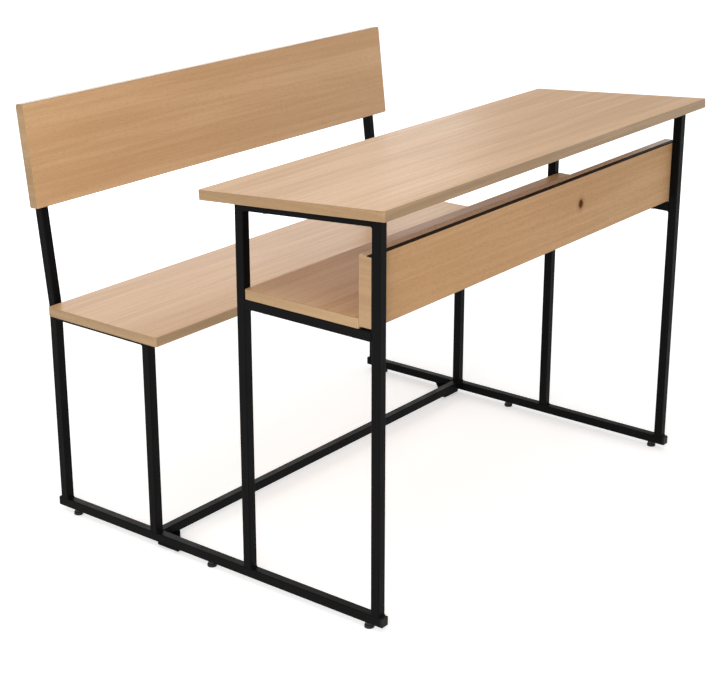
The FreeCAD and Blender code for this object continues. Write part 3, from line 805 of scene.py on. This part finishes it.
@dataclass
class Board:
    """A laminated board of the frame with a new soft-rimmed edge band."""

    name: str
    laminate: BeechLaminate
    turn_degrees: float = 0.0
    thickness: float = 18.0 * MM
    band_thickness: float = 1.0 * MM
    corner_radius: float = 4.0 * MM
    corner_segments: int = 6
    rim_radius: float = 0.7 * MM
    rim_segments: int = 3

    @property
    def band_node(self) -> str:
        """Return the name of the board's edge band in the frame."""
        return f"{self.name}_edge_band"

    def flat_size(self) -> Vector:
        """Return length, depth and thickness, worked back from the leaning band's box."""
        low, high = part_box(self.band_node)
        reach = high - low
        angle = math.radians(abs(self.turn_degrees))
        if math.sin(angle) > math.cos(angle):
            depth = (reach.z - self.thickness * math.cos(angle)) / math.sin(angle)
        else:
            depth = (reach.y - self.thickness * math.sin(angle)) / math.cos(angle)
        return Vector((reach.x, depth, self.thickness))

    def build_band(self) -> Workpiece:
        """Model the band lying flat, then lean it into its place.

        Returns:
            The band.
        """
        band = Workpiece.box(f"{self.name}_band", self.flat_size())
        half = self.thickness / 2
        band.bevel(band.upright_edges(), self.corner_radius, self.corner_segments)
        band.bevel(band.edges_at(-half, half), self.rim_radius, self.rim_segments)
        band.edit(Pick.FACES, band.faces(Way.UP, Way.DOWN))
        bpy.ops.mesh.inset(thickness=self.band_thickness - self.rim_radius, use_even_offset=True)
        bpy.ops.mesh.bridge_edge_loops()
        band.done()
        band.clean()
        low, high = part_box(self.band_node)
        return band.turn(turn_about(Along.LENGTH, self.turn_degrees), (low + high) / 2)

    def dress(self, band_material: bpy.types.Material) -> None:
        """Finish the board and its band.

        Args:
            band_material: The finish of the edge bands.
        """
        band = self.build_band().smooth()
        band.dress(band_material, "band_beech", ROOT_BODY, [self.band_node])
        paint_node(f"{self.name}_board", self.laminate.material())


@dataclass
class FrontPanel:
    """The upright panel with its dark strip along the top edge."""

    laminate: BeechLaminate
    rim_radius: float = 0.6 * MM
    rim_segments: int = 3

    def dress(self, band_material: bpy.types.Material, strip_material: bpy.types.Material) -> None:
        """Finish the panel, its band and its strip.

        Args:
            band_material: The finish of the edge bands.
            strip_material: The finish of the dark strip.
        """
        paint_node("front_panel_board", self.laminate.material())
        paint_node("front_panel_edge_band", band_material)
        low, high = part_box("front_panel_top_strip")
        strip = Workpiece.box("panel_top_strip", high - low, (low + high) / 2)
        strip.bevel(strip.edges_at(high.z), self.rim_radius, self.rim_segments)
        strip.smooth().dress(strip_material, "strip_dark", ROOT_BODY, ["front_panel_top_strip"])


@dataclass(frozen=True)
class WeldRun:
    """A short weld in the corner between two tubes."""

    centre: Vector
    along: Along


@dataclass
class SideFrame:
    """One welded side frame: its tubes get powder coat, its joints weld beads."""

    side: str
    bead_radius: float = 2.1 * MM
    bead_pitch: float = 1.9 * MM
    bead_margin: float = 2.2 * MM
    bead_squash: float = 0.8
    bead_segments: int = 8
    bead_rings: int = 5
    smooth_degrees: float = 80.0
    tubes: tuple[str, ...] = ("base_rail", "front_leg", "rear_leg", "seat_leg", "back_post",
                              "top_rail", "shelf_rail", "seat_rail", "corner_plate")

    def box(self, part: str) -> tuple[Vector, Vector]:
        """Return the box of one of this side's nodes."""
        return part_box(f"{self.side}_{part}")

    def runs(self) -> list[WeldRun]:
        """Find the corners where the tubes of this side meet.

        Returns:
            One run for each corner that a torch can reach.
        """
        rail_low, rail_high = self.box("base_rail")
        top_low, top_high = self.box("top_rail")
        shelf_low, shelf_high = self.box("shelf_rail")
        seat_low, seat_high = self.box("seat_rail")
        brace_low, brace_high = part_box("cross_stretcher")
        tube = rail_high.z - rail_low.z
        corners = []
        for leg in ("front_leg", "rear_leg", "seat_leg", "back_post"):
            low, _ = self.box(leg)
            corners += [(low.y, rail_high.z), (low.y + tube, rail_high.z)]
        corners += [
            (top_low.y, top_high.z - tube), (top_high.y, top_low.z),
            (shelf_low.y, shelf_low.z), (shelf_high.y, shelf_low.z), (shelf_low.y, shelf_high.z),
            (seat_low.y, seat_low.z), (seat_high.y, seat_low.z), (seat_high.y, seat_high.z),
        ]
        middle_x = (rail_low.x + rail_high.x) / 2
        inner_x = brace_low.x if self.side == "left" else brace_high.x
        middle_z = (brace_low.z + brace_high.z) / 2
        found = [WeldRun(Vector((middle_x, y, z)), Along.LENGTH) for y, z in corners]
        for y in (brace_low.y, brace_high.y):
            found.append(WeldRun(Vector((inner_x, y, middle_z)), Along.HEIGHT))
        return found

    def build_welds(self) -> Workpiece:
        """Model one run of overlapping beads and lay a copy in every corner.

        Returns:
            All beads of this side in one piece.
        """
        low, high = self.box("base_rail")
        length = high.x - low.x - 2 * self.bead_margin
        count = int(length / self.bead_pitch) + 1
        Workpiece.let_go()
        bpy.ops.mesh.primitive_uv_sphere_add(segments=self.bead_segments, ring_count=self.bead_rings,
                                             radius=self.bead_radius)
        pattern = Workpiece.taken("bead_pattern")
        pattern.obj.scale = (self.bead_squash, 1.0, 1.0)
        pattern.obj.location = (-length / 2, 0, 0)
        pattern.settle()
        pattern.modify("ARRAY", count=count, use_relative_offset=False, use_constant_offset=True,
                       constant_offset_displace=(length / (count - 1), 0, 0))
        turns = {Along.LENGTH: NO_TURN, Along.HEIGHT: turn_about(Along.DEPTH, QUARTER_TURN)}
        beads = [pattern.copy(f"{self.side}_bead_{number}", turns[run.along], run.centre)
                 for number, run in enumerate(self.runs())]
        pattern.discard()
        return Workpiece.joined(f"{self.side}_weld_beads", beads).smooth(self.smooth_degrees)

    def dress(self, coat: bpy.types.Material) -> None:
        """Finish the tubes and lay the welds.

        Args:
            coat: The powder coat.
        """
        for tube in self.tubes:
            paint_node(f"{self.side}_{tube}", coat)
        self.build_welds().dress(coat, "frame_black", ROOT_BODY)


@dataclass
class TubePlugs:
    """Moulded plugs with crowned heads in the open tube ends."""

    rail_head: float = 4.0 * MM
    post_head: float = 3.0 * MM
    depth: float = 12.0 * MM
    side_gap: float = 1.3 * MM
    corner_radius: float = 2.0 * MM
    corner_segments: int = 4
    crown_radius: float = 1.4 * MM
    crown_segments: int = 3

    def build(self, name: str, width: float, head: float) -> Workpiece:
        """Model a plug with its head on +Z and its spigot below.

        Args:
            name: The plug's name.
            width: Width of the tube.
            head: Height of the head.

        Returns:
            The plug.
        """
        plug = Workpiece.box(name, (width, width, head), (0, 0, head / 2))
        plug.bevel(plug.upright_edges(), self.corner_radius, self.corner_segments)
        plug.bevel(plug.edges_at(head), self.crown_radius, self.crown_segments)
        return plug.step(plug.faces(Way.DOWN), self.side_gap, (0, 0, -self.depth)).smooth()

    def dress(self, material: bpy.types.Material) -> None:
        """Model both groups of plugs and finish them.

        Args:
            material: The moulded plastic.
        """
        rail_low, rail_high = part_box("left_base_rail")
        width = rail_high.x - rail_low.x
        middle_z = (rail_low.z + rail_high.z) / 2
        rail_plug = self.build("rail_plug_pattern", width, self.rail_head)
        post_plug = self.build("post_plug_pattern", width, self.post_head)
        lean = turn_about(Along.LENGTH, -BACK_RAKE_DEGREES)
        half_across = width / 2 * math.cos(math.radians(BACK_RAKE_DEGREES))
        half_rise = width / 2 * math.sin(math.radians(BACK_RAKE_DEGREES))
        rail_plugs, post_plugs = [], []
        for side in SIDES:
            low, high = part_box(f"{side}_base_rail")
            middle_x = (low.x + high.x) / 2
            for y, degrees in ((low.y, QUARTER_TURN), (high.y, -QUARTER_TURN)):
                outwards = turn_about(Along.LENGTH, degrees)
                rail_end = (middle_x, y, middle_z)
                rail_plugs.append(rail_plug.copy(f"{side}_plug_{degrees}", outwards, rail_end))
            _, post_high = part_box(f"{side}_back_post")
            post_end = (middle_x, post_high.y - half_across, post_high.z - half_rise)
            post_plugs.append(post_plug.copy(f"{side}_post_plug", lean, post_end))
        rail_plug.discard()
        post_plug.discard()
        groups = (("rail_plugs", rail_plugs, "rail_end_plugs"),
                  ("post_plugs", post_plugs, "post_top_plugs"))
        for name, plugs, node in groups:
            Workpiece.joined(name, plugs).dress(material, "plug_black", ROOT_BODY, [node])


@dataclass
class LevellingFeet:
    """Six feet: a moulded pad and a threaded screw with a hexagon."""

    facets: int = 48
    crown_radius: float = 1.8 * MM
    crown_segments: int = 4
    base_radius: float = 0.6 * MM
    base_segments: int = 2
    pitch: float = 1.25 * MM
    thread_depth: float = 0.6 * MM
    thread_facets: int = 24
    collar_sides: int = 6
    collar_across: float = 13.0 * MM
    collar_bevel: float = 0.5 * MM
    collar_segments: int = 2
    stem_radius: float = 4.0 * MM
    spigot_radius: float = 5.0 * MM
    spigot_facets: int = 32
    socket_radius: float = 5.06 * MM
    socket_depth: float = 3.0 * MM
    collar_low: float = 6.0 * MM
    collar_high: float = 9.0 * MM
    overlap: float = 0.1 * MM
    smooth_degrees: float = 35.0

    def build_pad(self) -> Workpiece:
        """Model a pad on the Z axis.

        Returns:
            The pad.
        """
        low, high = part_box("left_front_foot_pad")
        height = high.z - low.z
        radius = (high.x - low.x) / 2
        pad = Workpiece.cylinder("pad_pattern", radius, 0.0, height, self.facets)
        pad.bevel(pad.edges_at(height), self.crown_radius, self.crown_segments)
        pad.bevel(pad.edges_at(0.0), self.base_radius, self.base_segments)
        rim = radius - self.crown_radius - self.socket_radius
        return pad.step(pad.faces(Way.UP), rim, (0, 0, -self.socket_depth)).smooth()

    def build_screw(self) -> Workpiece:
        """Model a screw on the Z axis: spigot, hexagon and ridged stem.

        Returns:
            The screw.
        """
        low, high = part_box("left_front_foot_screw")
        collar = Workpiece.cylinder("collar_pattern", self.collar_across / math.sqrt(3), self.collar_low,
                                    self.collar_high, self.collar_sides)
        half_side = 2 * QUARTER_TURN / self.collar_sides
        collar.turn(turn_about(Along.HEIGHT, half_side), (0, 0, 0))
        rims = collar.edges_at(self.collar_low, self.collar_high)
        collar.bevel(rims, self.collar_bevel, self.collar_segments)
        spigot = Workpiece.cylinder("spigot_pattern", self.spigot_radius, low.z,
                                    self.collar_low + self.overlap, self.spigot_facets)
        half = self.pitch / 2
        Workpiece.let_go()
        bpy.ops.mesh.primitive_cone_add(vertices=self.thread_facets, depth=half,
                                        radius1=self.stem_radius - self.thread_depth,
                                        radius2=self.stem_radius, end_fill_type="NOTHING",
                                        location=(0, 0, -half / 2))
        stem = Workpiece.taken("stem_pattern").settle()
        stem.modify("MIRROR", use_axis=(False, False, True), use_mirror_merge=True,
                    merge_threshold=MERGE_DISTANCE)
        turns = int((high.z - self.collar_high) / self.pitch)
        stem.modify("ARRAY", count=turns, use_relative_offset=False, use_constant_offset=True,
                    constant_offset_displace=(0, 0, self.pitch), use_merge_vertices=True,
                    merge_threshold=MERGE_DISTANCE)
        stem_low = self.collar_high - self.overlap
        stem.turn(NO_TURN, (0, 0, stem_low + half))
        for end in (stem_low, stem_low + turns * self.pitch):
            stem.edit(Pick.EDGES, stem.edges_at(end))
            bpy.ops.mesh.edge_face_add()
            stem.done()
        stem.clean()
        return Workpiece.joined("screw_pattern", [collar, spigot, stem]).smooth(self.smooth_degrees)

    def dress(self, plastic: bpy.types.Material, steel: bpy.types.Material) -> None:
        """Place a pad and a screw under each foot position.

        Args:
            plastic: The pads' moulded plastic.
            steel: The screws' blackened steel.
        """
        pad = self.build_pad()
        screw = self.build_screw()
        for side in SIDES:
            for row in FOOT_ROWS:
                foot = f"{side}_{row}"
                low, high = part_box(f"{foot}_foot_pad")
                centre = ((low.x + high.x) / 2, (low.y + high.y) / 2, 0)
                pad.copy(f"{foot}_pad", NO_TURN, centre).dress(
                    plastic, "foot_black", f"{foot}_pad", [f"{foot}_foot_pad"])
                screw.copy(f"{foot}_screw", NO_TURN, centre).dress(
                    steel, "screw_black", f"{foot}_screw", [f"{foot}_foot_screw"])
        pad.discard()
        screw.discard()


@dataclass(frozen=True)
class ScrewGroup:
    """Four equal board screws of the frame and how they point."""

    node: str
    turn_degrees: float
    split: Along


@dataclass
class BoardScrews:
    """Pan-head screws with a cross recess that hold the boards."""

    head_radius: float = 4.5 * MM
    head_height: float = 2.6 * MM
    shank_radius: float = 2.25 * MM
    recess_width: float = 1.1 * MM
    recess_length: float = 4.6 * MM
    recess_depth: float = 1.5 * MM
    crown_radius: float = 1.6 * MM
    crown_segments: int = 4
    facets: int = 28
    flat_slack: float = 0.1 * MM
    smooth_degrees: float = 35.0
    groups: tuple[ScrewGroup, ...] = (
        ScrewGroup("desktop_screws", -DESK_TILT_DEGREES, Along.DEPTH),
        ScrewGroup("seat_screws", 0.0, Along.DEPTH),
        ScrewGroup("shelf_screws", 0.0, Along.DEPTH),
        ScrewGroup("backrest_screws", QUARTER_TURN - BACK_RAKE_DEGREES, Along.HEIGHT),
        ScrewGroup("panel_screws", QUARTER_TURN, Along.HEIGHT),
    )

    def build(self, reach: float) -> Workpiece:
        """Model a screw along +Z with the underside of its head at the origin.

        Args:
            reach: Length of the shank.

        Returns:
            The screw.
        """
        crown = -self.head_height
        screw = Workpiece.cylinder("screw_pattern", self.head_radius, crown, 0.0, self.facets)
        screw.bevel(screw.edges_at(crown), self.crown_radius, self.crown_segments)
        screw.step(screw.faces(Way.UP), self.head_radius - self.shank_radius, (0, 0, reach))
        slot_size = (self.recess_length, self.recess_width, 2 * self.recess_depth)
        for degrees in (0, QUARTER_TURN):
            cutter = Workpiece.box("recess_cutter", slot_size, (0, 0, crown))
            cutter.turn(turn_about(Along.HEIGHT, degrees), (0, 0, 0))
            screw.modify("BOOLEAN", operation="DIFFERENCE", object=cutter.obj, solver="EXACT")
            cutter.discard()
        return screw.smooth(self.smooth_degrees)

    def spots(self, group: ScrewGroup) -> list[tuple[Vector, float]]:
        """Find where the screws of a group sit.

        Args:
            group: The group.

        Returns:
            The point under each head and the length of its shank.
        """
        direction = turn_about(Along.LENGTH, group.turn_degrees) @ Along.HEIGHT.vector
        corners = [vertex.co.copy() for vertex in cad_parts[group.node].data.vertices]
        low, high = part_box(group.node)
        middle = (low + high) / 2
        split = group.split.vector
        found = []
        for left in (True, False):
            for lower in (True, False):
                own = [corner for corner in corners if (corner.x < middle.x) == left
                       and (corner.dot(split) < middle.dot(split)) == lower]
                widths = [corner.x for corner in own]
                levels = [corner.dot(direction) for corner in own]
                flat_level = min(levels) + self.flat_slack
                heads = [corner for corner, level in zip(own, levels) if level < flat_level]
                centre = sum(heads, Vector()) / len(heads)
                centre.x = (min(widths) + max(widths)) / 2
                seat = centre + direction * self.head_height
                found.append((seat, max(levels) - min(levels) - self.head_height))
        return found

    def dress(self, steel: bpy.types.Material) -> None:
        """Model the screws of every group and finish them.

        Args:
            steel: The plating.
        """
        for group in self.groups:
            spots = self.spots(group)
            _, reach = spots[0]
            pattern = self.build(reach)
            rotation = turn_about(Along.LENGTH, group.turn_degrees)
            made = [pattern.copy(f"{group.node}_{number}", rotation, spot)
                    for number, (spot, _) in enumerate(spots)]
            pattern.discard()
            name = group.node.replace("screws", "pan_screws")
            Workpiece.joined(name, made).dress(steel, "fastener_steel", ROOT_BODY, [group.node])


@dataclass(frozen=True)
class Lamp:
    """A square lamp that faces the desk: where it hangs, its side and its power in watts."""

    name: str
    place: tuple[float, float, float]
    size: float
    power: float

    def hang(self, target: Vector) -> None:
        """Put the lamp in the scene.

        Args:
            target: The point that it faces.
        """
        data = bpy.data.lights.new(self.name, "AREA")
        data.size = self.size
        data.energy = self.power
        lamp = bpy.data.objects.new(self.name, data)
        bpy.context.scene.collection.objects.link(lamp)
        lamp.location = self.place
        lamp.rotation_mode = "QUATERNION"
        lamp.rotation_quaternion = (target - Vector(self.place)).to_track_quat("-Z", "Y")


@dataclass
class Studio:
    """White floor, soft lights and the camera at the photo's viewpoint."""

    camera_place: tuple[float, float, float] = (-2.5621, -1.9672, 1.4747)
    azimuth: float = -52.00
    elevation: float = 19.88
    focal_pixels: float = 1703.45
    photo_width: int = 720
    sensor_width: float = 36.0
    clip_end: float = 200.0
    floor_size: float = 60.0
    floor_colour: Colour = (0.86, 0.86, 0.86)
    floor_roughness: float = 0.9
    glow_near: float = 0.9
    glow_far: float = 2.6
    near_glow: float = 0.43
    far_glow: float = 0.75
    sky_strength: float = 0.58
    lamp_target: tuple[float, float, float] = (0.0, 0.0, 0.45)
    lamps: tuple[Lamp, ...] = (
        Lamp("overhead_lamp", (-1.1, -0.5, 3.4), 2.2, 18.0),
        Lamp("camera_lamp", (-3.0, -1.4, 1.5), 1.6, 60.0),
        Lamp("rear_lamp", (1.68, 2.17, 1.33), 2.1, 18.5),
    )

    def add_camera(self) -> None:
        """Set the camera where the photo was taken from."""
        data = bpy.data.cameras.new("photo_camera")
        data.sensor_width = self.sensor_width
        data.lens = self.focal_pixels * self.sensor_width / self.photo_width
        data.clip_end = self.clip_end
        camera = bpy.data.objects.new("photo_camera", data)
        bpy.context.scene.collection.objects.link(camera)
        across, up = math.radians(self.azimuth), math.radians(self.elevation)
        back = Vector((math.sin(across) * math.cos(up), -math.cos(across) * math.cos(up), math.sin(up)))
        camera.rotation_mode = "QUATERNION"
        camera.rotation_quaternion = (-back).to_track_quat("-Z", "Y")
        camera.location = self.camera_place
        bpy.context.scene.camera = camera

    def add_floor(self) -> None:
        """Lay a pale floor, white to the camera with its shadow, clear when seen from below."""
        Workpiece.let_go()
        bpy.ops.mesh.primitive_plane_add(size=self.floor_size)
        floor = Workpiece.taken("studio_floor").obj
        material, graph, shader, place = start_material("studio_white")
        shader.inputs["Base Color"].default_value = opaque(self.floor_colour)
        shader.inputs["Roughness"].default_value = self.floor_roughness
        shader.inputs["Specular IOR Level"].default_value = 0.0
        distance = graph.length(place)
        lift = graph.spread(distance, self.glow_near, self.glow_far, self.near_glow, self.far_glow)
        glow = graph.add("ShaderNodeEmission", {"Strength": graph.math("MULTIPLY", graph.seen(), lift)})
        both = graph.add("ShaderNodeAddShader", {0: shader.outputs[0], 1: glow.outputs[0]})
        below = graph.add("ShaderNodeNewGeometry").outputs["Backfacing"]
        clear = graph.add("ShaderNodeBsdfTransparent")
        surface = graph.add("ShaderNodeMixShader", {0: below, 1: both.outputs[0], 2: clear.outputs[0]})
        graph.feed(material.node_tree.nodes["Material Output"].inputs["Surface"], surface.outputs[0])
        floor.data.materials.append(material)

    def add_world(self) -> None:
        """Light the room evenly and show white behind the floor."""
        world = bpy.data.worlds.new("studio_world")
        bpy.context.scene.world = world
        world.use_nodes = True
        graph = Graph(world.node_tree)
        background = world.node_tree.nodes["Background"]
        background.inputs["Color"].default_value = (1.0, 1.0, 1.0, 1.0)
        strength = graph.spread(graph.seen(), low=0.0, high=1.0, new_low=self.sky_strength)
        graph.feed(background.inputs["Strength"], strength)

    def set_up(self) -> None:
        """Make the camera, floor, world and lamps."""
        bpy.context.scene.view_settings.view_transform = "Standard"
        self.add_camera()
        self.add_floor()
        self.add_world()
        for lamp in self.lamps:
            lamp.hang(Vector(self.lamp_target))


def main() -> None:
    """Build and dress the desk piece by piece, then set up the studio."""
    logging.basicConfig(level=logging.INFO, format="%(name)s: %(message)s")
    coat = POWDER_COAT.material()
    plug_plastic = PLUG_PLASTIC.material()
    foot_plastic = FOOT_PLASTIC.material()
    black_steel = BLACK_STEEL.material()
    strip_plastic = STRIP_PLASTIC.material()
    band_material = EdgeBandFinish(name="beech_edge_band").material()
    # Painted shade and light: a darker copy of the band finish shades the panel's end, and its top
    # colour pales the up-facing faces.
    panel_band_painted_shade_and_light = EdgeBandFinish(name="panel_edge_band", pale=(0.375, 0.230, 0.116),
                                deep=(0.285, 0.165, 0.078), top=(0.760, 0.600, 0.440)).material()
    steel = ZincPlate(name="zinc_plated_steel").material()

    for side in SIDES:
        SideFrame(side).dress(coat)
    paint_node("cross_stretcher", coat)
    desktop_laminate = BeechLaminate(name="desktop_laminate", shift=(0.0, 0.0, 0.0))
    seat_laminate = BeechLaminate(name="seat_laminate", shift=(3.1, 1.3, 0.0), shine=0.15)
    back_laminate = BeechLaminate(name="backrest_laminate", shift=(7.7, 0.4, 2.0), shine=0.40)
    shelf_laminate = BeechLaminate(name="shelf_laminate", shift=(5.2, 2.6, 0.0))
    boards = (
        Board("desktop", desktop_laminate, -DESK_TILT_DEGREES),
        Board("seat", seat_laminate),
        Board("backrest", back_laminate, QUARTER_TURN - BACK_RAKE_DEGREES),
        Board("book_shelf", shelf_laminate),
    )
    for board in boards:
        board.dress(band_material)
    panel_low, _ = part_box("front_panel_board")
    knot = Knot(centre=(0.1385, panel_low.y, 0.6206))
    panel_laminate = BeechLaminate(name="panel_laminate", shift=(9.4, 0.9, 0.3), knot=knot)
    FrontPanel(panel_laminate).dress(panel_band_painted_shade_and_light, strip_plastic)
    TubePlugs().dress(plug_plastic)
    LevellingFeet().dress(foot_plastic, black_steel)
    BoardScrews().dress(steel)
    paint_node("corner_plate_bolts", steel)
    paint_node("foot_inserts", black_steel)
    Studio().set_up()


if __name__ == "__main__":
    main()
